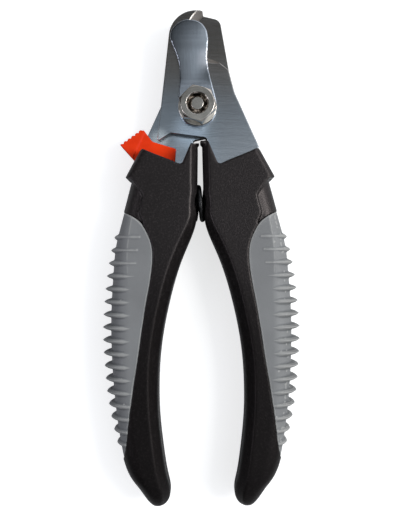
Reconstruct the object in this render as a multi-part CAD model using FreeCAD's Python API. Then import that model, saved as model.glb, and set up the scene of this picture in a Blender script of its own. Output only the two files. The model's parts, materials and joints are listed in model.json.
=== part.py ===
"""Scissor nail clipper for pets: two stamped steel blades on one pivot, each set in a two-shell handle.

Built in millimetres around the pivot: X across, Y towards the blade tips, Z out of the front face.
The pivot axis is X = Y = 0 and the blades meet at Z = 0. The finished set is then moved so that the row
frame's origin is the centre of the clipper's footprint on the table it lies on.
The clipper is drawn closed. Everything on the back blade's side is fixed, and the front blade's side turns.
"""
import FreeCAD
import Part
import math
import os

V = FreeCAD.Vector

# ---- driving dimensions ------------------------------------------------------------------------------
PLATE = 3.0                 # blade thickness
BLADE_GAP = 0.02            # each blade stands this far off the parting plane
RUNNING = 0.05              # radial clearance on the pivot
EDGE = 0.2                  # broken edge on stamped steel

BOLT_D = 6.0                # M6 pivot bolt
BOLT_HEAD_D = 11.0
BOLT_HEAD_H = 3.0
BOLT_END_Z = 9.7
BOLT_POINT = 1.2            # chamfer on the bolt's end
WASHER_OD = 12.0            # M6 plain washer
WASHER_T = 1.1
NUT_AF = 10.2               # M6 hexagon nut
NUT_TURN = 44.0             # direction of one corner, in degrees
NUT_H = 5.0
NUT_CROWN = 38.0            # slope of the chamfer round its top, in degrees
STACK_GAP = 0.04            # between parts clamped in the pivot stack

GUARD_T = 1.0
GUARD_LIFT = 1.5            # how far the guard's paddle stands above its clamped end
GUARD_FLAT_Y = 6.4          # the clamped end is flat up to here

NOTCH_R = 7.4               # round cutting notch
BEVEL_R = 9.3               # where the ground bevel meets the blade's outer face
EDGE_LAND = 0.35            # flat left at the cutting edge

HANDLE_AXIS_X = 0.65        # the handles are mirrored about this line
FACE_Z = 8.2                # flat front and back faces of the handles
GRIP_SKIN = 2.4             # rubber over the handle's core
GRIP_SINK = 0.35            # the rubber lies this far below the hard panel beside it
NECK_STEP = 0.9             # the rounded neck lies this far below the raised panel
NECK_R = 5.6
BEVEL_DEPTH = 1.1           # the inner bevel's depth, as a multiple of its width
CREASE_R = 0.6              # edge between the flat face and the inner bevel
WALL = 2.2                  # shell wall
TANG_CLEAR = 0.1
STOP_GAP = 0.04             # from each closing stop to the handles' mirror line
LEFT_PEAK_Y = -11.85        # the left handle's inner corner is cut down to here

SPRING_Y = -29.9
SPRING_WIRE = 1.5
SPRING_R = 5.2              # mean coil radius
SPRING_COILS = 5
POCKET_R = 6.3
POCKET_DEPTH = 7.0          # seat of the spring, measured from the handles' mirror line

RIB_COUNT = 17
RIB_FIRST_Y = -40.7
RIB_PITCH = 4.04
RIB_WIDTH = 2.3             # at its foot
RIB_ROOT = 0.3              # the foot lies this far inside the rubber
RIB_RISE = 0.25             # a crest's height over the handle's faces at its outer end
RIB_REACH = 8.4             # how far each rib runs in over the front and back

LOCK_ANGLE = 20.0           # the lock slides this far above the line to the left, in degrees
LOCK_TRAVEL = 5.8
LOCK_T = 1.4                # lock plate on the tang
PAD_RISE = 0.4              # the thumb pad's top over the arm's
LOCK_BOSS_R = 1.9
LOCK_SLOT_R = 2.0
LOCK_REST = (-9.3, -14.2)   # centre of the boss when locked
UNDERCUT_R = 14.1           # the front blade's corner is stepped outside this radius to pass over the lock

SCREWS = ((12.4, -25.5), (11.9, -46.5), (19.2, -98.0))   # (out from the mirror line, y)
SCREW_D = 2.9
SCREW_HEAD_D = 5.0
SCREW_HEAD_H = 2.0
BOSS_D = 6.4


# ---- helpers -----------------------------------------------------------------------------------------
def rounded_wire(corners):
    """Closed outline from (x, y, corner radius) in the XY plane; a radius of 0 leaves the corner sharp."""
    n = len(corners)
    stops = []
    for i, (x, y, r) in enumerate(corners):
        here = V(x, y, 0)
        if r == 0:
            stops.append((here, here, here))
            continue
        before = (V(*corners[i - 1][:2], 0) - here).normalize()
        after = (V(*corners[(i + 1) % n][:2], 0) - here).normalize()
        half = before.getAngle(after) / 2
        reach = r / math.tan(half)
        middle = here + (before + after).normalize() * (r / math.sin(half) - r)
        stops.append((here + before * reach, middle, here + after * reach))
    edges = []
    for i, (start, middle, end) in enumerate(stops):
        if (start - end).Length > 1e-6:
            edges.append(Part.Arc(start, middle, end).toShape())
        following = stops[(i + 1) % n][0]
        if (following - end).Length > 1e-6:
            edges.append(Part.makeLine(end, following))
    return Part.Wire(edges)


def spline_wire(points):
    """Closed smooth outline through (x, y) points."""
    curve = Part.BSplineCurve()
    curve.interpolate([V(x, y, 0) for x, y in points], PeriodicFlag=True)
    return Part.Wire([curve.toShape()])


def prism(wire, low, high):
    face = Part.Face(wire)
    face.translate(V(0, 0, low))
    return face.extrude(V(0, 0, high - low))


def polygon(points, low, high):
    return prism(rounded_wire([(x, y, 0) for x, y in points]), low, high)


def cylinder(radius, low, high, x=0.0, y=0.0):
    return Part.makeCylinder(radius, high - low, V(x, y, low))


def mirrored(shape):
    """From the right-hand side (measured out from the mirror line) to the left-hand side."""
    return shape.mirror(V(0, 0, 0), V(1, 0, 0))


def break_edges(shape, size, at_z):
    """Small chamfer on every edge that lies flat in one of the planes at_z."""
    edges = [e for e in shape.Edges
             if any(abs(e.BoundBox.ZMin - z) < 1e-4 and abs(e.BoundBox.ZMax - z) < 1e-4 for z in at_z)]
    try:
        made = shape.makeChamfer(size, edges)
        return made if made.isValid() else shape
    except Part.OCCError:
        return shape


# ---- blades ------------------------------------------------------------------------------------------
def tang_corners(side):
    """The blade's tang, inside its handle, from the inner edge round to the outer edge. side is +1 or -1."""
    points = [(3.3, -12.7, 0), (4.2, -16.2, 2), (9.0, -21.5, 2), (8.4, -42.0, 10), (13.3, -65.5, 2),
              (18.6, -64.5, 2), (15.8, -38.0, 10), (15.8, -24.0, 3), (17.5, -16.0, 2), (18.7, -12.4, 1)]
    return [(HANDLE_AXIS_X + side * u, y, r) for u, y, r in points]


def blade(corners, low, high, notch_x, notch_y, outer_face):
    """Stamped plate with the pivot bore and the hollow-ground cutting notch, bevelled from its outer face."""
    plate = prism(rounded_wire(corners), low, high)
    inner_face = high if outer_face == low else low
    land = inner_face + math.copysign(EDGE_LAND, outer_face - inner_face)
    overshoot = math.copysign(0.5, outer_face - inner_face)
    slope = (BEVEL_R - NOTCH_R) / abs(outer_face - land)
    far = outer_face + overshoot
    far_r = BEVEL_R + slope * abs(overshoot)
    bottom, top = sorted((land, far))
    radii = (NOTCH_R, far_r) if land < far else (far_r, NOTCH_R)
    bevel = Part.makeCone(*radii, top - bottom, V(notch_x, notch_y, bottom))
    straight = cylinder(NOTCH_R, low - 1, high + 1, notch_x, notch_y)
    return plate.cut(straight).cut(bevel)


def tang_holes(side, low, high):
    holes = [cylinder(SCREW_D / 2 + 0.15, low - 1, high + 1, HANDLE_AXIS_X + side * u, y) for u, y in SCREWS[:2]]
    return holes[0].fuse(holes[1])


def front_blade():
    """Left jaw and right tang."""
    low, high = BLADE_GAP, PLATE
    corners = [(2.0, 29.9, 0.2), (1.8, 31.0, 0.3), (-8.0, 31.0, 8.5), (-12.9, -10.5, 0.5), (-8.7, -7.8, 1.0),
               (2.7, -9.4, 1.5)]
    corners += tang_corners(1)
    corners += [(11.7, 4.9, 3.0), (9.85, 12.1, 0.8), (3.4, 17.3, 0)]
    plate = blade(corners, low, high, 5.9, 23.4, high)
    plate = plate.cut(cylinder(BOLT_D / 2 + RUNNING, -1, 4)).cut(tang_holes(1, low, high))
    undercut = cylinder(UNDERCUT_R + 5, 0, LOCK_T + 0.25).cut(cylinder(UNDERCUT_R, -1, 3))
    undercut = undercut.common(Part.makeBox(30, 30, 4, V(-31, -30.5, -1)))
    return break_edges(plate.cut(undercut), EDGE, [high])


def back_blade():
    """Right jaw and left tang, with the lock's slot through the tang."""
    low, high = -PLATE, -BLADE_GAP
    corners = [(-3.4, 28.2, 0.2), (-1.5, 30.9, 2.0), (7.35, 28.75, 2.6), (13.9, -9.6, 0.5), (10.0, -7.3, 1.0),
               (-1.4, -9.6, 1.5)]
    corners += tang_corners(-1)
    corners += [(-10.1, 4.7, 3.0), (-9.4, 12.1, 0.8), (-5.0, 17.4, 0)]
    plate = blade(corners, low, high, -8.8, 23.1, low)
    plate = plate.cut(cylinder(BOLT_D / 2 + RUNNING, -4, 1)).cut(tang_holes(-1, low, high))
    plate = plate.cut(lock_path(LOCK_SLOT_R, low - 1, high + 1, LOCK_TRAVEL + 0.1))
    return break_edges(plate, EDGE, [low])


# ---- pivot stack -------------------------------------------------------------------------------------
GUARD_Z = PLATE + STACK_GAP
WASHER_Z = GUARD_Z + GUARD_T + STACK_GAP
NUT_Z = WASHER_Z + WASHER_T + STACK_GAP
HEAD_TOP_Z = -PLATE - STACK_GAP - WASHER_T - STACK_GAP


def nail_guard():
    """Sheet paddle behind the cutting notch, joggled up from the pivot."""
    plan = spline_wire([(-2.5, 27.2), (-6.8, 25.5), (-8.45, 22.6), (-7.9, 19.9), (-6.55, 16.6), (-5.65, 12.5),
                        (-5.7, 7.0), (-6.0, 1.2), (-4.3, -4.3), (0, -6.1), (4.3, -4.3), (6.0, 0.8),
                        (5.2, 5.0), (3.9, 10.5), (3.2, 15.5), (3.4, 19.3), (3.2, 23.4), (1.2, 26.2)])
    lift = [(GUARD_FLAT_Y, 0), (12.0, 0.22 * GUARD_LIFT), (18.0, 0.62 * GUARD_LIFT), (24, 0.93 * GUARD_LIFT),
            (30, GUARD_LIFT)]
    rise = Part.BSplineCurve()
    rise.interpolate(Points=[V(-12, y, GUARD_Z + z) for y, z in lift], InitialTangent=V(0, 1, 0),
                     FinalTangent=V(0, 1, 0))
    start = V(-12, -8, GUARD_Z)
    flat = Part.makeLine(start, V(-12, GUARD_FLAT_Y, GUARD_Z))
    under = Part.Wire([flat, rise.toShape()])
    over = under.translated(V(0, 0, GUARD_T))
    end = V(-12, lift[-1][0], GUARD_Z + GUARD_LIFT)
    up = V(0, 0, GUARD_T)
    outline = under.Edges + [Part.makeLine(end, end + up)] + over.Edges + [Part.makeLine(start, start + up)]
    side = Part.Face(Part.Wire(Part.__sortEdges__(outline)))
    sheet = side.extrude(V(20, 0, 0))
    return sheet.common(prism(plan, 0, 12)).cut(cylinder(BOLT_D / 2 + RUNNING, 0, 12))


def washer(low):
    ring = cylinder(WASHER_OD / 2, low, low + WASHER_T).cut(cylinder(BOLT_D / 2 + 0.2, low - 1, low + 3))
    return break_edges(ring, EDGE, [low, low + WASHER_T])


def hexagon(across_flats, low, high, turn):
    corner = across_flats / math.sqrt(3)
    points = [(corner * math.cos(math.radians(60 * i + turn)), corner * math.sin(math.radians(60 * i + turn)))
              for i in range(6)]
    return polygon(points, low, high)


def pivot_nut():
    top = NUT_Z + NUT_H
    body = hexagon(NUT_AF, NUT_Z, top, NUT_TURN)
    wide = NUT_AF / math.sqrt(3) + 1
    drop = (wide - NUT_AF / 2) * math.tan(math.radians(NUT_CROWN))
    crown = cylinder(wide, NUT_Z, top - drop)
    crown = crown.fuse(Part.makeCone(wide, NUT_AF / 2, drop, V(0, 0, top - drop)))
    body = body.common(crown)
    bore = cylinder(BOLT_D / 2 + RUNNING, NUT_Z - 1, top + 1)
    mouth = Part.makeCone(BOLT_D / 2, BOLT_D / 2 + 0.6, 0.7, V(0, 0, top - 0.5))
    return body.cut(bore).cut(mouth)


def pivot_bolt():
    """Round head with a hexagon socket, against the back washer."""
    head = cylinder(BOLT_HEAD_D / 2, HEAD_TOP_Z - BOLT_HEAD_H, HEAD_TOP_Z)
    head = break_edges(head, 0.7, [HEAD_TOP_Z - BOLT_HEAD_H])
    shank = cylinder(BOLT_D / 2, HEAD_TOP_Z - 0.5, BOLT_END_Z)
    shank = break_edges(shank, BOLT_POINT, [BOLT_END_Z])
    socket = hexagon(4.0, HEAD_TOP_Z - BOLT_HEAD_H - 1, HEAD_TOP_Z - 1.0, 0)
    return head.fuse(shank).cut(socket).removeSplitter()


# ---- handles, drawn on the right-hand side and measured out from the mirror line -----------------------
# y, inner edge, outer edge, half thickness, width of the inner bevel, outer corner radius
STATIONS = (
    (-20.0, 0.84, 20.6, 8.4, 2.2, 3.0),
    (-24.0, 0.92, 22.1, 8.4, 2.2, 3.7),
    (-28.0, 0.97, 22.9, 8.4, 2.2, 4.0),
    (-32.0, 1.12, 23.95, 8.4, 2.3, 4.5),
    (-36.0, 1.5, 25.1, 8.4, 2.5, 5.0),
    (-39.5, 2.55, 26.1, 8.4, 3.1, 5.5),
    (-43.0, 4.0, 27.0, 8.4, 3.4, 6.0),
    (-51.0, 7.2, 27.95, 8.3, 3.3, 6.4),
    (-60.0, 9.8, 28.65, 8.1, 3.15, 6.6),
    (-72.0, 12.3, 28.95, 7.9, 3.1, 6.6),
    (-87.0, 13.65, 28.3, 7.7, 3.0, 6.3),
    (-98.0, 13.5, 27.2, 7.5, 2.75, 6.0),
    (-108.5, 12.4, 25.5, 7.3, 2.75, 5.6),
    (-114.5, 11.5, 23.7, 7.0, 2.8, 5.2),
    (-119.5, 10.35, 20.6, 6.2, 2.8, 4.8),
    (-123.0, 10.4, 18.3, 4.8, 2.4, 3.9),
    (-125.3, 11.7, 16.5, 3.0, 1.5, 2.4),
    (-126.2, 13.3, 15.4, 1.3, 0.6, 0.9),
)


def section(y, inner, outer, half, bevel, r_outer):
    """Section across the handle at one station: bevelled on the inner side, round on the outer side."""
    side = half - BEVEL_DEPTH * bevel
    crease = min(CREASE_R, bevel / 2)
    corners = [(inner + bevel, -half, crease), (outer, -half, r_outer), (outer, half, r_outer),
               (inner + bevel, half, crease), (inner, side, bevel), (inner, -side, bevel)]
    wire = rounded_wire(corners)
    wire.rotate(V(0, 0, 0), V(1, 0, 0), 90)
    wire.translate(V(0, y, 0))
    return wire


def body_loft(inner_inset=0.0, outer_inset=0.0, face_inset=0.0, end_inset=0.0):
    """The handle's smooth body, or a smaller one inside it: insets move its faces and its end in."""
    wires = []
    for y, inner, outer, half, bevel, r_outer in STATIONS:
        inner += inner_inset
        outer -= outer_inset
        half -= face_inset
        if outer - inner < 2.0 or half < 1.2 or y < STATIONS[-1][0] + end_inset:
            break
        most = min(half, (outer - inner) / 2) - 0.1
        r_outer = min(max(r_outer - outer_inset, 0.8), most)
        wires.append(section(y, inner, outer, half, min(max(bevel - inner_inset, 0.6), half / 1.7), r_outer))
    loft = Part.makeLoft(wires, True, False)
    reach = FACE_Z - face_inset
    return loft.common(Part.makeBox(60, 140, 2 * reach, V(-5, -135, -reach)))


def head_block():
    """The wider end that takes the blade, with its shoulder above the neck."""
    top = section(-10.5, 0.65, 16.95, 8.4, 2.2, 3.0)
    bottom = section(-24.2, 0.92, 24.4, 8.4, 2.2, 3.0)
    block = Part.makeLoft([top, bottom], True, True)
    block = block.common(Part.makeBox(60, 40, 2 * FACE_Z, V(-5, -40, -FACE_Z)))
    waist = rounded_wire([(23.3, -22.0, 0), (21.8, -24.5, 1.2), (21.6, -27, 0), (30, -27, 0), (30, -22.0, 0)])
    return block.cut(prism(waist, -10, 10))


def mouth():
    """Everything above the V-shaped top edge, where the blade comes out, and the gap between the handles."""
    outline = rounded_wire([(-6, -40, 0), (0.55, -40, 0), (0.55, -11.6, 0), (1.1, -10.85, 0), (2.4, -10.85, 0.6),
                            (5.75, -18.5, 1.0), (8.6, -17.15, 4), (15.3, -14.5, 6), (17.9, -13.3, 0.5),
                            (26, -18, 0), (26, 0, 0), (-6, 0, 0)])
    return prism(outline, -10, 10)


def closing_stop():
    """Lug that meets the other handle's when the clipper is shut."""
    return Part.makeBox(1.4, 1.1, 4.4, V(STOP_GAP, -12.15, 3.2))


def grip_zone():
    """Everything outside the curve where the rubber grip meets the hard handle."""
    line = Part.BSplineCurve()
    line.interpolate([V(u, y, 0) for u, y in ((24.9, -32.6), (21.3, -34.2), (18.4, -36.4), (16.6, -39.2),
                                              (15.4, -42.2), (14.85, -45.6), (14.95, -49), (15.95, -56),
                                              (17.7, -65.6), (19.4, -77), (20.7, -85), (22, -93.5),
                                              (23, -101), (24, -107.5), (25.6, -112))])
    corners = [V(25.6, -112, 0), V(40, -112, 0), V(40, -32.6, 0), V(24.9, -32.6, 0)]
    sides = [Part.makeLine(corners[i], corners[i + 1]) for i in range(3)]
    return prism(Part.Wire([line.toShape()] + sides), -12, 12)


def neck_zone():
    """The lower, outer part of the neck, beside the raised panel on the front and on the back."""
    outline = rounded_wire([(21.6, -22.4, 0), (18.6, -26.2, 0.6), (17.5, -28.0, 0.8), (18.0, -29.9, 2.0),
                            (18.9, -33.4, 1.5), (17.4, -36.9, 0), (30, -36.9, 0), (30, -22.4, 0)])
    return prism(outline, -10, 10)


def neck_column():
    """The rounded neck that shows in the neck zone."""
    top = section(-20.0, 5, 20.9, FACE_Z - NECK_STEP, 2, NECK_R)
    bottom = section(-38.0, 5, 25.7, FACE_Z - NECK_STEP, 2, NECK_R)
    return Part.makeLoft([top, bottom], True, True)


def rib_height(y):
    return 0.9 + 1.5 * max(0.0, 1 - ((y + 73) / 34) ** 2)


def station_at(y):
    """The handle's section values at any y, by smooth interpolation between the stations."""
    i = max(k for k in range(1, len(STATIONS) - 2) if STATIONS[k][0] >= y)
    before, start, end, after = STATIONS[i - 1:i + 3]
    t = (start[0] - y) / (start[0] - end[0])
    values = [y]
    for p0, p1, p2, p3 in zip(before[1:], start[1:], end[1:], after[1:]):
        bend = 2 * p0 - 5 * p1 + 4 * p2 - p3
        values.append(p1 + 0.5 * t * (p2 - p0 + t * (bend + t * (3 * p1 - p0 - 3 * p2 + p3))))
    return values


def rib_outline(y, inset, offset):
    """Outline of one rib across the handle: inset 0 is its crest and inset 1 its foot, inside the rubber."""
    _, inner, outer, half, _, r_outer = station_at(y)
    foot_reach = outer - GRIP_SINK - RIB_ROOT
    tip = (outer + rib_height(y)) * (1 - inset) + foot_reach * inset
    crest = min(half + RIB_RISE, FACE_Z)
    side = crest * (1 - inset) + (half - GRIP_SINK - RIB_ROOT) * inset
    low = max(outer - RIB_REACH, inner + 2)
    fade = (half - GRIP_SINK - 0.05) * (1 - inset) + (half - GRIP_SINK - 1.5 * RIB_ROOT) * inset
    r_tip = min(r_outer + rib_height(y), half - 1.2) * (1 - inset) + min(r_outer, half - 1.5) * inset
    wire = rounded_wire([(low, -fade, 0.8), (tip, -side, r_tip), (tip, side, r_tip), (low, fade, 0.8)])
    wire.rotate(V(0, 0, 0), V(1, 0, 0), 90)
    wire.translate(V(0, y + offset, 0))
    return wire


def rib(y):
    """One rib: a fin with a pointed, rounded section that fades out over the handle's faces."""
    steps = [(1.0, -1.0), (0.32, -0.5), (0.0, 0.0), (0.32, 0.5), (1.0, 1.0)]
    wires = [rib_outline(y, inset, side * RIB_WIDTH / 2) for inset, side in steps]
    return Part.makeLoft(wires, True, True)


def ribs():
    return [rib(RIB_FIRST_Y - i * RIB_PITCH) for i in range(RIB_COUNT)]


def spring_pocket(radius, low, high):
    return Part.makeCylinder(radius, high - low, V(low, SPRING_Y, 0), V(1, 0, 0))


def handle_blank():
    """(core, grip) on the right-hand side, before the core is hollowed and split."""
    base = body_loft().fuse(head_block()).cut(mouth()).fuse(closing_stop())
    base = base.cut(neck_zone()).fuse(neck_column().common(neck_zone()))
    under_grip = body_loft(outer_inset=GRIP_SKIN, face_inset=GRIP_SKIN, end_inset=10)
    zone = grip_zone()
    grip = body_loft(outer_inset=GRIP_SINK, face_inset=GRIP_SINK).fuse(ribs()).common(zone).cut(under_grip)
    core = base.cut(zone).fuse(base.common(under_grip))
    cavity = body_loft(WALL, GRIP_SKIN + WALL, GRIP_SKIN + 1.8, 12)
    cavity = cavity.cut(Part.makeBox(60, 40, 40, V(-5, -22.0, -20)))
    kept = [spring_pocket(POCKET_R + 1.3, -1, POCKET_DEPTH + 1.5)]
    kept += [cylinder(BOSS_D / 2, -12, 12, u, y) for u, y in SCREWS]
    core = core.cut(cavity.cut(kept)).cut(spring_pocket(POCKET_R, -1, POCKET_DEPTH))
    for u, y in SCREWS:
        core = core.cut(cylinder(SCREW_D / 2 + 0.03, -FACE_Z - 1, FACE_Z - 2.2, u, y))
        core = core.cut(cylinder(SCREW_HEAD_D / 2 + 0.2, -FACE_Z - 1, -FACE_Z + SCREW_HEAD_H + 0.6, u, y))
    return core, grip


def split_shells(core, tang_low, tang_high):
    """(front, back) shells around a tang between two heights."""
    tang = rounded_wire([(u - HANDLE_AXIS_X, y, r) for u, y, r in tang_corners(1)] + [(13.4, 0, 0), (1.9, -9, 0)])
    slot = Part.Face(tang).makeOffset2D(TANG_CLEAR)
    slot.translate(V(0, 0, tang_low - BLADE_GAP))
    core = core.cut(slot.extrude(V(0, 0, tang_high - tang_low + 2 * BLADE_GAP)))
    front = core.common(Part.makeBox(60, 140, 20, V(-5, -135, 0.01)))
    back = core.common(Part.makeBox(60, 140, 20, V(-5, -135, -20.01)))
    return front, back


def handle_screws():
    """Three self-tapping screws in from the back; a node of separate solids."""
    screws = []
    seat = -FACE_Z + SCREW_HEAD_H + 0.6
    for u, y in SCREWS:
        head = cylinder(SCREW_HEAD_D / 2, seat - SCREW_HEAD_H, seat, u, y)
        cross = Part.makeBox(3.2, 0.7, 1.2, V(u - 1.6, y - 0.35, seat - SCREW_HEAD_H))
        cross = cross.fuse(Part.makeBox(0.7, 3.2, 1.2, V(u - 0.35, y - 1.6, seat - SCREW_HEAD_H)))
        shank = cylinder(SCREW_D / 2, seat - 0.4, FACE_Z - 2.6, u, y)
        screws.append(head.fuse(shank).cut(cross).removeSplitter())
    return screws


# ---- spring and lock ---------------------------------------------------------------------------------
def handle_spring():
    """Compression coil lying across the gap, seated in a pocket in each handle."""
    length = 2 * POCKET_DEPTH - SPRING_WIRE - 0.2
    helix = Part.makeHelix(length / SPRING_COILS, length, SPRING_R)
    ring = Part.Wire([Part.makeCircle(SPRING_WIRE / 2, V(SPRING_R, 0, 0), V(0, 1, 0))])
    coil = Part.Wire(helix).makePipeShell([ring], True, True)
    coil.rotate(V(0, 0, 0), V(0, 1, 0), 90)
    coil.translate(V(HANDLE_AXIS_X - length / 2, SPRING_Y, 0))
    return coil


def lock_direction():
    return V(-math.cos(math.radians(LOCK_ANGLE)), math.sin(math.radians(LOCK_ANGLE)), 0)


def lock_path(radius, low, high, travel):
    """Round-ended bar along the lock's travel, starting at the locked position."""
    start = V(*LOCK_REST, low)
    end = start + lock_direction() * travel
    bar = cylinder(radius, low, high, start.x, start.y).fuse(cylinder(radius, low, high, end.x, end.y))
    across = lock_direction().cross(V(0, 0, 1)) * radius
    box = Part.Face(Part.makePolygon([start + across, end + across, end - across, start - across, start + across]))
    return bar.fuse(box.extrude(V(0, 0, high - low)))


def lock_slider():
    """Thumb pad outside the handle and a flat arm across the tang, with a boss down through the slot."""
    low_corner, high_corner = V(-24.6, -11.4, 0), V(-17.4, -6.25, 0)
    along = high_corner - low_corner
    outward = V(-along.y, along.x, 0).normalize()
    teeth = 6
    serrated = []
    for i in range(teeth):
        start = low_corner + along * (i / teeth)
        serrated.append((start + outward * 0.25, 0))
        serrated.append((low_corner + along * ((i + 0.45) / teeth) + outward * 0.25, 0.0))
        serrated.append((low_corner + along * ((i + 0.75) / teeth) - outward * 0.3, 0.0))
    corners = [(p.x, p.y, r) for p, r in serrated]
    corners += [(-17.4, -6.25, 0.3), (-14.5, -10.2, 2.0), (-7.0, -12.5, 0.2), (-7.35, -16.9, 0.2),
                (-14.0, -15.2, 3.0), (-19.6, -17.0, 0.6)]
    outline = rounded_wire(corners)
    arm = prism(outline, 0.1, LOCK_T)
    outside_tang = polygon([(-16.1, -5.5), (-20.6, -15.0), (-20.6, -20), (-30, -20), (-30, -5.5)], -5, 5)
    pad = prism(outline, -2.6, LOCK_T + PAD_RISE).common(outside_tang)
    boss = cylinder(LOCK_BOSS_R, -PLATE - 1.0, 0.2, *LOCK_REST)
    return arm.fuse(pad).fuse(boss).removeSplitter()


def lock_retainer():
    """Clip on the slider's boss that holds it against the tang from behind."""
    low, high = -PLATE - 1.2, -PLATE - 0.1
    start = V(*LOCK_REST, 0) - lock_direction() * 1.2
    end = V(*LOCK_REST, 0) + lock_direction() * 4.0
    across = lock_direction().cross(V(0, 0, 1)) * 3.0
    outline = rounded_wire([((start + across).x, (start + across).y, 1.0), ((end + across).x, (end + across).y, 1.0),
                            ((end - across).x, (end - across).y, 1.0), ((start - across).x, (start - across).y, 1.0)])
    return prism(outline, low, high).cut(cylinder(LOCK_BOSS_R + 0.02, low - 1, high + 1, *LOCK_REST))


def lock_pocket():
    """Room in the left handle for the lock at both ends of its travel."""
    front = polygon([(-27, -4), (-5.6, -4), (-5.6, -16.9), (-8, -17.4), (-14, -15.9), (-19.8, -17.9), (-27, -15)],
                    -0.1, LOCK_T + 0.3)
    pad = polygon([(-27, -4), (-16, -4), (-16, -17.1), (-19.8, -17.9), (-27, -15)], -2.9, LOCK_T + PAD_RISE + 0.3)
    behind = polygon([(-20, -4), (-3.6, -4), (-3.6, -18.4), (-9.8, -18.8), (-20, -15.4)], -PLATE - 1.4, 0)
    return front.fuse(pad).fuse(behind)


# ---- assembly ----------------------------------------------------------------------------------------
def placed(shape, side):
    """Moves a right-hand shape to its handle. side is +1 or -1."""
    shape = shape if side > 0 else mirrored(shape)
    shape.translate(V(HANDLE_AXIS_X, 0, 0))
    return shape


def all_nodes():
    nodes = {
        "front_blade": front_blade(),
        "back_blade": back_blade(),
        "nail_guard": nail_guard(),
        "guard_washer": washer(WASHER_Z),
        "pivot_nut": pivot_nut(),
        "pivot_bolt": pivot_bolt(),
        "head_washer": washer(-PLATE - STACK_GAP - WASHER_T),
        "handle_spring": handle_spring(),
        "lock_slider": lock_slider(),
        "lock_retainer": lock_retainer(),
    }
    core, grip = handle_blank()
    pocket = lock_pocket()
    for word, side, low in (("right", 1, 0), ("left", -1, -PLATE)):
        front, back = split_shells(core, low, low + PLATE)
        nodes[word + "_handle_front"] = placed(front, side)
        nodes[word + "_handle_back"] = placed(back, side)
        nodes[word + "_grip"] = placed(grip.copy(), side)
    peak = Part.makeBox(4, 2, 20, V(HANDLE_AXIS_X - 4, LEFT_PEAK_Y, -10))
    for name in ("left_handle_front", "left_handle_back"):
        nodes[name] = nodes[name].cut(pocket).cut(peak)
    for side, word in ((1, "right"), (-1, "left")):
        nodes[word + "_handle_screws"] = Part.makeCompound([placed(s, side) for s in handle_screws()])
    return nodes


def main():
    nodes = all_nodes()
    box = Part.makeCompound(list(nodes.values())).optimalBoundingBox()
    to_row = V(-(box.XMin + box.XMax) / 2, -(box.YMin + box.YMax) / 2, -box.ZMin)
    os.makedirs("parts", exist_ok=True)
    for name, shape in nodes.items():
        shape.translate(to_row)
        shape.exportStep(os.path.join("parts", name + ".step"))
        print(name, len(shape.Solids), "solids, valid" if shape.isValid() else "solids, NOT VALID",
              round(shape.Volume, 1), "mm3")
    print("pivot in the row frame:", [round(c, 4) for c in to_row])
    print("size:", round(box.XLength, 2), round(box.YLength, 2), round(box.ZLength, 2))


main()
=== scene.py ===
import json
import math
import bpy
import bmesh
import numpy as np
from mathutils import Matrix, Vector


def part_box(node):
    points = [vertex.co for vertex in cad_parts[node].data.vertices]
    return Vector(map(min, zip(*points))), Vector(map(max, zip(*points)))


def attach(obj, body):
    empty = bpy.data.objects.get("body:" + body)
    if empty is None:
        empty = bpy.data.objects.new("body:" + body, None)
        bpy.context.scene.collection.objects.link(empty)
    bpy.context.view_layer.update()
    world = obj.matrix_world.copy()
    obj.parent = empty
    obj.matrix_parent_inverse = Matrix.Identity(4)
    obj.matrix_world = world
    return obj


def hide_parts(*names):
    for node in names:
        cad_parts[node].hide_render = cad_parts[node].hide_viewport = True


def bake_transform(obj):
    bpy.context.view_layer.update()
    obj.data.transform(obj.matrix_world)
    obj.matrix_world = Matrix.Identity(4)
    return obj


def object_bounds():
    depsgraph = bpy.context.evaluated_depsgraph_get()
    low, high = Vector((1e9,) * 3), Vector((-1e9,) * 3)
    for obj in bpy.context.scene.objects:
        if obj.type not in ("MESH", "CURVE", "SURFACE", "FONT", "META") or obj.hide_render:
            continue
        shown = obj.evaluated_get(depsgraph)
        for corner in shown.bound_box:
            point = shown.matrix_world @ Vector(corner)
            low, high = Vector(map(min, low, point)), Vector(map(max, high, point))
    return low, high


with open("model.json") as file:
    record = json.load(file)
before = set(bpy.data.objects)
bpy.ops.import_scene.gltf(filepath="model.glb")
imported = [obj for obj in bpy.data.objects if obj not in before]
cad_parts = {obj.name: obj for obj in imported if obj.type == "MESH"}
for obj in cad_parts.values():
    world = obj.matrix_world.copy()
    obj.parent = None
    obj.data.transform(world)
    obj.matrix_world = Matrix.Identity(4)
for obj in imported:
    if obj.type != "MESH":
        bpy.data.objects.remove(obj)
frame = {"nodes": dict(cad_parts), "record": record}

CAD_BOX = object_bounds()
MM = 0.001
RECORD = frame["record"]
JOINTS = {j["name"]: j for j in RECORD["behaviour"]["joints"]}
PIVOT = Vector(JOINTS["blade_pivot"]["pos_m"])

CAMERA_FROM_PIVOT = Vector((1.2, -46.7, 205.0)) * MM
CAMERA_ROLL = -0.0077
LENS_MM = 45.0
SENSOR_MM = 36.0

# how finely each moulded piece is remeshed, and how many smoothing passes it gets
SHELL_VOXEL, SHELL_PASSES = 0.3 * MM, 2
GRIP_VOXEL, GRIP_PASSES = 0.2 * MM, 2
LOCK_VOXEL, LOCK_PASSES = 0.16 * MM, 2
GUARD_VOXEL, GUARD_PASSES = 0.2 * MM, 4

# painted highlights and tone changes on the steel, (across, along) in millimetres from the pivot
BELOW_NUT_SHINE = (-2.5, -7.0)
BLADE_CORNER_SHINE = (-12.4, -9.2)
GUARD_WAIST_SHINE = (3.4, 15.0)
GRIND_CENTRE_BELOW = 160 * MM   # the blades' grinding arcs are centred this far below the pivot

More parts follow.
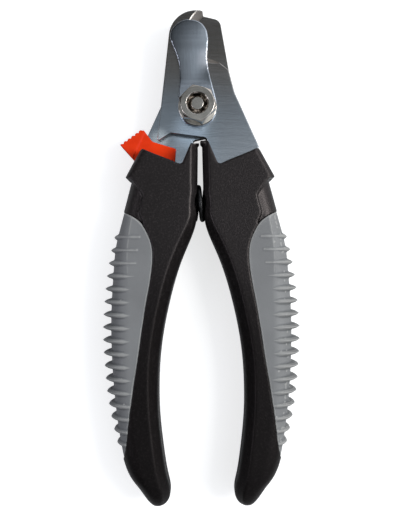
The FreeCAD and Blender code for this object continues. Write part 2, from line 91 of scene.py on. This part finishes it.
GUARD_DISH = 0.015              # fall per square millimetre away from the guard's middle line
GUARD_MIDDLE = -2.4             # that line, in millimetres across from the pivot
GUARD_MIDDLE_SHIFT = 0.9        # and its shift to the right at the waist

SPRING_WIRE_R = 0.75 * MM
SPRING_TURNS = 6.5
SPRING_CLOSED_TURNS = 0.75      # turns lying against each other at each end
SPRING_STEPS_PER_TURN = 72
SPRING_STEPS_AROUND = 20

FLOOR_HALF = 3.0
FLOOR_DROP = 0.02 * MM
FLOOR_GLOW = 0.04               # emission as the other surfaces see it
FLOOR_GLOW_SEEN = 0.66          # and what is added for the camera, to read as a white backdrop

# name, place, size, power, tint
SOFT_BOXES = (
    ("key", (0.42, 0.05, 0.40), 0.26, 2.4, (1.0, 0.99, 0.97)),
    ("fill", (-0.45, -0.05, 0.35), 0.25, 0.9, (0.9, 0.9, 1.0)),
)


# ---- shader building ---------------------------------------------------------------------------------
class Shader:
    """One node-based material around a Principled shader."""

    def __init__(self, name, **settings):
        self.material = bpy.data.materials.new(name)
        self.material.use_nodes = True
        self.tree = self.material.node_tree
        self.main = self.tree.nodes["Principled BSDF"]
        for key, value in settings.items():
            self.feed(self.main.inputs[key.replace("_", " ")], value)
        self.place = self.node("ShaderNodeTexCoord").outputs["Object"]
        split = self.node("ShaderNodeSeparateXYZ", {"Vector": self.place})
        self.x, self.y, self.z = split.outputs

    def feed(self, socket, value):
        if isinstance(value, bpy.types.NodeSocket):
            self.tree.links.new(value, socket)
        else:
            socket.default_value = value

    def node(self, kind, inputs=None, **attributes):
        made = self.tree.nodes.new(kind)
        for key, value in attributes.items():
            setattr(made, key, value)
        for key, value in (inputs or {}).items():
            self.feed(made.inputs[key], value)
        return made

    def math(self, operation, a, b=0.0, c=0.0):
        return self.node("ShaderNodeMath", {0: a, 1: b, 2: c}, operation=operation).outputs[0]

    def ramp(self, value, low, high, to_low=0.0, to_high=1.0):
        inputs = {"Value": value, "From Min": low, "From Max": high, "To Min": to_low, "To Max": to_high}
        return self.node("ShaderNodeMapRange", inputs, interpolation_type="SMOOTHSTEP").outputs["Result"]

    def stretched(self, x, y, z):
        scale = self.node("ShaderNodeMapping", {"Vector": self.place, "Scale": (x, y, z)})
        return scale.outputs["Vector"]

    def noise(self, scale, detail=3.0, roughness=0.55, vector=None):
        inputs = {"Vector": vector or self.place, "Scale": scale, "Detail": detail, "Roughness": roughness}
        return self.node("ShaderNodeTexNoise", inputs).outputs["Fac"]

    def mix(self, amount, a, b, blend="MIX"):
        made = self.node("ShaderNodeMix", {0: amount}, data_type="RGBA", blend_type=blend)
        self.feed(made.inputs[6], a)
        self.feed(made.inputs[7], b)
        return made.outputs[2]

    def rounded(self, radius):
        """(normal with softened edges, 0..1 edge amount)."""
        soft = self.node("ShaderNodeBevel", {"Radius": radius}, samples=6).outputs["Normal"]
        plain = self.node("ShaderNodeNewGeometry").outputs["Normal"]
        dot = self.node("ShaderNodeVectorMath", {0: soft, 1: plain}, operation="DOT_PRODUCT").outputs["Value"]
        return soft, self.ramp(dot, 0.995, 0.86)

    def away(self, across, along):
        """Distance in plan from a point given in millimetres from the pivot."""
        x = self.math("SUBTRACT", self.x, PIVOT.x + across * MM)
        y = self.math("SUBTRACT", self.y, PIVOT.y + along * MM)
        return self.math("SQRT", self.math("MULTIPLY_ADD", x, x, self.math("MULTIPLY", y, y)))

    def upright(self):
        """How far the surface faces up or down: 0 on a wall, 1 on a flat."""
        facing = self.node("ShaderNodeNewGeometry").outputs["Normal"]
        return self.math("ABSOLUTE", self.node("ShaderNodeSeparateXYZ", {"Vector": facing}).outputs[2])

    def bump(self, height, distance, normal=None, strength=1.0):
        inputs = {"Height": height, "Distance": distance, "Strength": strength}
        if normal is not None:
            inputs["Normal"] = normal
        return self.node("ShaderNodeBump", inputs).outputs["Normal"]

    def finish(self, colour=None, roughness=None, normal=None):
        for key, value in (("Base Color", colour), ("Roughness", roughness), ("Normal", normal)):
            if value is not None:
                self.feed(self.main.inputs[key], value)
        return self.material


def rgb(r, g, b):
    return (r, g, b, 1.0)


def blade_steel():
    """Ground stainless: fine arced grain, with painted shade making it darker and browner towards the jaws
    and darker right of the pivot, painted highlights below the nut and at a corner, and painted shade on its
    bevels and on its side walls all round.
    """
    s = Shader("blade_steel", Metallic=1.0)
    below = s.math("SUBTRACT", s.y, PIVOT.y - GRIND_CENTRE_BELOW)
    aside = s.math("SUBTRACT", s.x, PIVOT.x)
    arc = s.math("SQRT", s.math("ADD", s.math("MULTIPLY", below, below), s.math("MULTIPLY", aside, aside)))
    grain_place = s.node("ShaderNodeCombineXYZ", {0: s.math("MULTIPLY", s.x, 0.03), 1: arc,
                                                  2: s.math("MULTIPLY", s.z, 0.3)}).outputs[0]
    fine = s.noise(9000.0, 2.0, 0.6, grain_place)
    broad = s.noise(1500.0, 3.0, 0.6, grain_place)
    cloud = s.noise(60.0, 3.0)
    # painted shade: darker and browner towards the jaws, and darker to the right of the pivot
    up = s.ramp(s.y, PIVOT.y - 0.003, PIVOT.y + 0.016)
    right = s.ramp(s.x, PIVOT.x + 0.001, PIVOT.x + 0.009)
    low = s.mix(right, rgb(0.37, 0.42, 0.465), rgb(0.325, 0.35, 0.375))
    tone = s.mix(up, low, rgb(0.335, 0.305, 0.276))
    # painted highlight on the plates below the nut
    shine = s.ramp(s.away(*BELOW_NUT_SHINE), 0.002, 0.0075, 0.8, 0.0)
    tone = s.mix(shine, tone, rgb(0.68, 0.80, 0.92))
    # painted glint at the blade's lower left corner
    glint = s.ramp(s.away(*BLADE_CORNER_SHINE), 0.001, 0.004, 1.0, 0.0)
    tone = s.mix(glint, tone, rgb(0.9, 0.97, 1.0))
    tone = s.mix(s.ramp(cloud, 0.35, 0.7, 0.0, 0.2), tone, rgb(0.25, 0.25, 0.26))
    tone = s.mix(s.ramp(broad, 0.35, 0.7, 0.0, 0.09), tone, rgb(0.65, 0.67, 0.7))
    flat = s.upright()
    # painted shade on the sloping bevel faces
    painted_bevel_shade = s.math("MULTIPLY", s.ramp(flat, 0.72, 0.78), s.ramp(flat, 0.92, 0.86))
    tone = s.mix(painted_bevel_shade, tone, rgb(0.07, 0.068, 0.066))
    # painted shade on the side walls, which are also made rougher
    shaded_walls = s.ramp(flat, 0.35, 0.12)
    tone = s.mix(shaded_walls, tone, rgb(0.05, 0.05, 0.052))
    soft, edge = s.rounded(0.25 * MM)
    tone = s.mix(s.math("MULTIPLY", edge, 0.3), tone, rgb(0.8, 0.82, 0.85))
    rough = s.math("ADD", s.ramp(fine, 0.3, 0.7, 0.15, 0.22), s.ramp(cloud, 0.3, 0.7, -0.02, 0.04))
    rough = s.math("MULTIPLY_ADD", shaded_walls, 0.2, rough)
    grain = s.math("ADD", fine, s.math("MULTIPLY", broad, 0.7))
    return s.finish(tone, rough, s.bump(grain, 0.010 * MM, soft))


def guard_steel():
    """Satin sheet, bluer than the blades, with painted shade where it rises and over its paddle, and a
    painted highlight at the right of its waist.
    """
    s = Shader("guard_steel", Metallic=1.0)
    along = s.noise(1600.0, 3.0, 0.6, s.stretched(1.0, 0.06, 1.0))
    cloud = s.noise(90.0, 3.0)
    tone = s.mix(s.ramp(cloud, 0.3, 0.7), rgb(0.60, 0.65, 0.72), rgb(0.68, 0.73, 0.80))
    # painted shade where the guard rises, and more over its paddle
    rise = s.math("MULTIPLY", s.ramp(s.y, PIVOT.y + 0.005, PIVOT.y + 0.010),
                  s.ramp(s.y, PIVOT.y + 0.025, PIVOT.y + 0.019))
    tone = s.mix(s.math("MULTIPLY", rise, 0.75), tone, rgb(0.13, 0.14, 0.15))
    paddle = s.ramp(s.y, PIVOT.y + 0.015, PIVOT.y + 0.024, 0.0, 0.55)
    tone = s.mix(paddle, tone, rgb(0.12, 0.13, 0.14))
    # painted highlight at the right of the guard's waist
    shine = s.ramp(s.away(*GUARD_WAIST_SHINE), 0.0005, 0.0050, 0.8, 0.0)
    tone = s.mix(shine, tone, rgb(0.38, 0.38, 0.40))
    soft, edge = s.rounded(0.3 * MM)
    tone = s.mix(s.math("MULTIPLY", edge, 0.6), tone, rgb(0.9, 0.92, 0.94))
    rough = s.ramp(along, 0.3, 0.7, 0.16, 0.23)
    return s.finish(tone, rough, s.bump(along, 0.006 * MM, soft))


def nickel():
    """Bright plated hardware with fine scuffs, painted shade with painted glints in the threaded hole, and
    painted shade on some facets.
    """
    s = Shader("nickel", Metallic=1.0)
    scuff = s.noise(2500.0, 4.0, 0.7)
    cloud = s.noise(300.0, 2.0)
    tone = s.mix(s.ramp(cloud, 0.3, 0.7), rgb(0.56, 0.52, 0.465), rgb(0.68, 0.635, 0.57))
    from_axis = s.away(0.0, 0.0)
    flat = s.upright()
    # painted shade in the hole round the bolt end, broken by painted glints for the thread
    hole = s.math("MULTIPLY", s.ramp(from_axis, 0.0041, 0.0038), s.ramp(flat, 0.97, 0.90))
    glint = s.mix(s.ramp(s.noise(900.0, 2.0), 0.48, 0.60), rgb(0.20, 0.18, 0.155), rgb(0.80, 0.74, 0.68))
    tone = s.mix(hole, tone, glint)
    # painted shade on patches of the nut's chamfer facets
    facet = s.math("MULTIPLY", s.ramp(from_axis, 0.0050, 0.0054), s.ramp(flat, 0.96, 0.85))
    patches = s.ramp(s.noise(260.0, 1.0), 0.40, 0.56)
    tone = s.mix(s.math("MULTIPLY", facet, patches), tone, rgb(0.16, 0.145, 0.13))
    soft, edge = s.rounded(0.2 * MM)
    tone = s.mix(s.math("MULTIPLY", edge, 0.5), tone, rgb(0.95, 0.9, 0.85))
    rough = s.ramp(scuff, 0.3, 0.75, 0.10, 0.22)
    return s.finish(tone, rough, s.bump(scuff, 0.006 * MM, soft))


def dark_zinc():
    """Dull plated screws, worn bright along their edges."""
    s = Shader("dark_zinc", Metallic=1.0)
    cloud = s.noise(700.0, 3.0)
    soft, edge = s.rounded(0.15 * MM)
    tone = s.mix(s.ramp(cloud, 0.3, 0.7), rgb(0.16, 0.16, 0.17), rgb(0.30, 0.30, 0.31))
    tone = s.mix(s.math("MULTIPLY", edge, 0.5), tone, rgb(0.6, 0.6, 0.6))
    return s.finish(tone, s.ramp(cloud, 0.3, 0.7, 0.3, 0.5), s.bump(cloud, 0.01 * MM, soft))


def black_plastic():
    """Warm black moulding with a fine texture, glossier at the top, with painted shade darkening it towards
    the bottom, and a little lighter and glossier along its edges.
    """
    s = Shader("black_plastic", Specular_Tint=rgb(1.0, 0.89, 0.87))
    s.feed(s.main.inputs["Specular IOR Level"], s.ramp(s.y, PIVOT.y - 0.075, PIVOT.y - 0.035, 0.15, 0.35))
    pebble = s.noise(2600.0, 2.0, 0.5)
    speck = s.noise(1700.0, 3.0, 0.6)
    cloud = s.noise(45.0, 3.0)
    soft, edge = s.rounded(0.5 * MM)
    tone = s.mix(s.ramp(cloud, 0.3, 0.7), rgb(0.0042, 0.0036, 0.0037), rgb(0.0070, 0.0060, 0.0062))
    tone = s.mix(s.ramp(speck, 0.50, 0.68, 0.0, 0.7), tone, rgb(0.022, 0.019, 0.019))
    # painted shade: darker towards the bottom
    lower = s.ramp(s.y, PIVOT.y - 0.035, PIVOT.y - 0.075, 0.0, 0.6)
    tone = s.mix(lower, tone, rgb(0.003, 0.0025, 0.0025))
    tone = s.mix(s.math("MULTIPLY", edge, 0.25), tone, rgb(0.024, 0.022, 0.022))
    rough = s.math("SUBTRACT", s.ramp(speck, 0.3, 0.7, 0.34, 0.44), s.math("MULTIPLY", edge, 0.06))
    height = s.math("ADD", pebble, s.math("MULTIPLY", speck, 0.8))
    return s.finish(tone, rough, s.bump(height, 0.06 * MM, soft, 0.9))


def grey_rubber():
    """Mid-grey moulded rubber, lighter on its ribs and with painted shade in its valleys."""
    s = Shader("grey_rubber")
    pore = s.noise(3200.0, 3.0, 0.6)
    cloud = s.noise(70.0, 4.0)
    soft = s.rounded(0.3 * MM)[0]
    tone = s.mix(s.ramp(cloud, 0.3, 0.7), rgb(0.158, 0.161, 0.163), rgb(0.183, 0.187, 0.189))
    tone = s.mix(s.ramp(pore, 0.6, 0.75, 0.0, 0.35), tone, rgb(0.13, 0.138, 0.142))
    # lighter on the rib tops; painted shade in the valleys
    shape = s.node("ShaderNodeNewGeometry").outputs["Pointiness"]
    tone = s.mix(s.ramp(shape, 0.5015, 0.512, 0.0, 0.75), tone, rgb(0.30, 0.30, 0.29))
    tone = s.mix(s.ramp(shape, 0.4985, 0.486, 0.0, 0.55), tone, rgb(0.10, 0.105, 0.11))
    rough = s.ramp(pore, 0.3, 0.7, 0.52, 0.68)
    return s.finish(tone, rough, s.bump(pore, 0.03 * MM, soft, 0.7))


def lock_plastic():
    """Saturated orange-red moulding, with painted light making the arm a little lighter than the thumb pad.
    """
    s = Shader("lock_plastic", Specular_IOR_Level=0.12)
    grainy = s.noise(2400.0, 3.0)
    cloud = s.noise(150.0, 3.0)
    soft, edge = s.rounded(0.3 * MM)
    tone = s.mix(s.ramp(cloud, 0.3, 0.7), rgb(0.68, 0.030, 0.003), rgb(0.80, 0.044, 0.005))
    # painted light: lighter along the arm than on the thumb pad
    tone = s.mix(s.ramp(s.x, PIVOT.x - 0.017, PIVOT.x - 0.011, 0.0, 0.8), tone, rgb(0.98, 0.050, 0.004))
    tone = s.mix(s.math("MULTIPLY", edge, 0.3), tone, rgb(0.95, 0.08, 0.02))
    return s.finish(tone, s.ramp(grainy, 0.3, 0.7, 0.38, 0.5), s.bump(grainy, 0.02 * MM, soft, 0.6))


def black_oxide():
    """Blackened spring wire with a slightly scaly surface."""
    s = Shader("black_oxide", Metallic=0.6)
    scale = s.noise(1800.0, 4.0)
    tone = s.mix(s.ramp(scale, 0.35, 0.7), rgb(0.012, 0.012, 0.013), rgb(0.035, 0.034, 0.034))
    return s.finish(tone, s.ramp(scale, 0.3, 0.7, 0.3, 0.5), s.bump(scale, 0.02 * MM))


# ---- pieces made here --------------------------------------------------------------------------------
def smooth(obj):
    obj.data.polygons.foreach_set("use_smooth", [True] * len(obj.data.polygons))
    obj.data.update()
    return obj


def link(name, data):
    obj = bpy.data.objects.new(name, data)
    bpy.context.scene.collection.objects.link(obj)
    return obj


def moulded(node, name, body, voxel, passes, material, shape_it=None):
    """A piece over a CAD node's shape: the same form with every edge and valley softened."""
    source = link(name + "_draft", frame["nodes"][node].data.copy())
    remesh = source.modifiers.new("remesh", "REMESH")
    remesh.mode = "VOXEL"
    remesh.voxel_size = voxel
    soften = source.modifiers.new("soften", "SMOOTH")
    soften.factor = 0.5
    soften.iterations = passes
    bpy.context.view_layer.update()
    shape = source.evaluated_get(bpy.context.evaluated_depsgraph_get())
    mesh = bpy.data.meshes.new_from_object(shape)
    bpy.data.objects.remove(source)
    mesh.name = name
    mesh.materials.clear()
    mesh.materials.append(material)
    if shape_it:
        count = len(mesh.vertices)
        points = np.empty(count * 3)
        mesh.vertices.foreach_get("co", points)
        mesh.vertices.foreach_set("co", shape_it(points.reshape(count, 3)).ravel())
    obj = smooth(link(name, mesh))
    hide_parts(node)
    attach(obj, body)
    return obj


def dished(points):
    """Turns the flat paddle of the guard into a shallow dish, crowned along its middle."""
    x = (points[:, 0] - PIVOT.x) / MM
    y = (points[:, 1] - PIVOT.y) / MM
    fade = np.clip((y - 7.0) / 7.0, 0.0, 1.0)
    fade = fade * fade * (3 - 2 * fade)
    middle = GUARD_MIDDLE + GUARD_MIDDLE_SHIFT * np.clip((16.0 - y) / 8.0, 0.0, 1.0)
    points[:, 2] -= GUARD_DISH * (x - middle) ** 2 * fade * MM
    return points


def return_spring(material):
    """Round-wire coil with closed, ground ends, filling the CAD spring's box."""
    low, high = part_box("handle_spring")
    centre = (low + high) / 2
    wire = SPRING_WIRE_R
    mean = (high.y - low.y) / 2 - wire
    length = high.x - low.x - 2 * wire
    turns, around = SPRING_TURNS, SPRING_STEPS_AROUND
    steps = int(turns * SPRING_STEPS_PER_TURN)
    closed = SPRING_CLOSED_TURNS / turns
    verts, faces = [], []
    for i in range(steps + 1):
        t = i / steps
        angle = 2 * math.pi * turns * t
        run = min(max((t - closed) / (1 - 2 * closed), 0.0), 1.0)
        end = (2 * wire) * (min(t, closed) + max(t - 1 + closed, 0.0)) / closed
        along = low.x + wire + 0.1 * end + (length - 0.4 * wire) * run
        out = Vector((0, math.cos(angle), math.sin(angle)))
        hub = Vector((along, centre.y, centre.z)) + out * mean
        for j in range(around):
            turn = 2 * math.pi * j / around
            verts.append(hub + (out * math.cos(turn) + Vector((1, 0, 0)) * math.sin(turn)) * wire)
    for i in range(steps):
        for j in range(around):
            a, b = i * around + j, i * around + (j + 1) % around
            faces.append((a, b, b + around, a + around))
    faces.append(tuple(reversed(range(around))))
    faces.append(tuple(range(steps * around, (steps + 1) * around)))
    mesh = bpy.data.meshes.new("coil_spring")
    mesh.from_pydata(verts, [], faces)
    mesh.materials.append(material)
    shape = bmesh.new()
    shape.from_mesh(mesh)
    bmesh.ops.recalc_face_normals(shape, faces=shape.faces)
    shape.to_mesh(mesh)
    shape.free()
    coil = smooth(link("coil_spring", mesh))
    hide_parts("handle_spring")
    start, end = (low.x, centre.y, centre.z), (high.x, centre.y, centre.z)
    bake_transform(coil)
    return coil


# ---- stage -------------------------------------------------------------------------------------------
def floor():
    """White backdrop just under the clipper, with a faint mottle."""
    z = CAD_BOX[0].z - FLOOR_DROP
    corners = [(x * FLOOR_HALF, y * FLOOR_HALF, z) for x, y in ((-1, -1), (1, -1), (1, 1), (-1, 1))]
    mesh = bpy.data.meshes.new("floor")
    mesh.from_pydata(corners, [], [(0, 1, 2, 3)])
    plane = link("floor", mesh)
    s = Shader("floor", Roughness=0.9)
    cloud = s.noise(3.0, 3.0)
    s.feed(s.main.inputs["Emission Color"], rgb(1, 1, 1))
    seen = s.node("ShaderNodeLightPath").outputs["Is Camera Ray"]
    glow = s.math("MULTIPLY_ADD", seen, FLOOR_GLOW_SEEN, FLOOR_GLOW)
    s.feed(s.main.inputs["Emission Strength"], glow)
    s.finish(s.mix(cloud, rgb(0.52, 0.52, 0.52), rgb(0.54, 0.54, 0.54)))
    mesh.materials.append(s.material)


def studio():
    """Soft surround: a card overhead, a bright right side, a dim front and a lamp patch low on the right."""
    world = bpy.data.worlds.new("studio")
    bpy.context.scene.world = world
    world.use_nodes = True
    tree = world.node_tree
    s = Shader.__new__(Shader)
    s.tree = tree
    s.place = s.node("ShaderNodeTexCoord").outputs["Generated"]
    s.x, s.y, s.z = s.node("ShaderNodeSeparateXYZ", {"Vector": s.place}).outputs
    overhead = s.math("MULTIPLY", s.ramp(s.y, 0.11, 0.21, 1.0, 0.28), s.ramp(s.y, 0.24, 0.34, 1.0, 0.35))
    to_right = s.ramp(s.x, 0.20, 0.55)
    to_left = s.ramp(s.x, -0.45, -0.70)
    low_down = s.ramp(s.z, 0.82, 0.60)
    beside = s.math("MAXIMUM", s.math("MAXIMUM", to_right, to_left), low_down)
    level = s.math("MULTIPLY_ADD", s.math("SUBTRACT", 1.0, overhead), beside, overhead)
    front = s.ramp(s.y, -0.22, 0.10, 0.34, 1.0)
    right = s.ramp(s.x, -0.55, 0.40, 0.10, 1.55)
    level = s.math("MULTIPLY", s.math("MULTIPLY", level, front), right)
    lamp_x = s.math("SUBTRACT", s.x, 0.42)
    lamp_y = s.math("SUBTRACT", s.y, -0.12)
    off_lamp = s.math("SQRT", s.math("MULTIPLY_ADD", lamp_x, lamp_x, s.math("MULTIPLY", lamp_y, lamp_y)))
    patch = s.math("MULTIPLY", s.ramp(off_lamp, 0.08, 0.22, 1.1, 0.0), s.ramp(s.z, 0.2, 0.5))
    level = s.math("ADD", level, patch)
    sky = s.mix(s.ramp(s.z, 0.15, 0.75), rgb(0.62, 0.61, 0.64), rgb(0.86, 0.93, 1.0))
    shade = s.node("ShaderNodeCombineXYZ", {0: level, 1: level, 2: level}).outputs[0]
    colour = s.mix(1.0, sky, shade, "MULTIPLY")
    seen = s.node("ShaderNodeLightPath").outputs["Is Camera Ray"]
    colour = s.mix(seen, colour, rgb(0.95, 0.96, 0.97))
    background = tree.nodes["Background"]
    s.feed(background.inputs["Color"], colour)
    s.feed(background.inputs["Strength"], 1.0)


def soft_boxes():
    for name, place, size, power, tint in SOFT_BOXES:
        light = bpy.data.lights.new(name, "AREA")
        light.size = size
        light.energy = power
        light.color = tint
        lamp = link(name, light)
        lamp.location = Vector(place)
        lamp.rotation_euler = (-lamp.location).to_track_quat("-Z", "Y").to_euler()


def camera():
    data = bpy.data.cameras.new("camera")
    data.lens = LENS_MM
    data.sensor_width = SENSOR_MM
    data.clip_start = 0.005
    cam = link("camera", data)
    cam.location = PIVOT + CAMERA_FROM_PIVOT
    cam.rotation_euler = (0.0, 0.0, CAMERA_ROLL)
    bpy.context.scene.camera = cam


# ---- the clipper -------------------------------------------------------------------------------------
def dress(material, *nodes):
    for node in nodes:
        mesh = frame["nodes"][node].data
        mesh.materials.clear()
        mesh.materials.append(material)


def main():
    black = black_plastic()
    bright = nickel()
    zinc = dark_zinc()
    dress(blade_steel(), "front_blade", "back_blade")
    sheet = guard_steel()
    dress(sheet, "nail_guard", "lock_retainer")
    dress(bright, "pivot_nut", "pivot_bolt", "guard_washer", "head_washer")
    dress(zinc, "left_handle_screws", "right_handle_screws")
    rubber = grey_rubber()
    for side in ("left", "right"):
        for half in ("front", "back"):
            node = f"{side}_handle_{half}"
            moulded(node, node + "_shell", side + "_side", SHELL_VOXEL, SHELL_PASSES, black)
    moulded("lock_slider", "lock_thumb_slider", "lock", LOCK_VOXEL, LOCK_PASSES, lock_plastic())
    moulded("nail_guard", "guard_sheet", "guard", GUARD_VOXEL, GUARD_PASSES, sheet, dished)
    moulded("left_grip", "left_grip_rubber", "left_side", GRIP_VOXEL, GRIP_PASSES, rubber)
    moulded("right_grip", "right_grip_rubber", "right_side", GRIP_VOXEL, GRIP_PASSES, rubber)
    return_spring(black_oxide())
    floor()
    studio()
    soft_boxes()
    camera()
    bpy.context.scene.view_settings.view_transform = "Standard"


main()
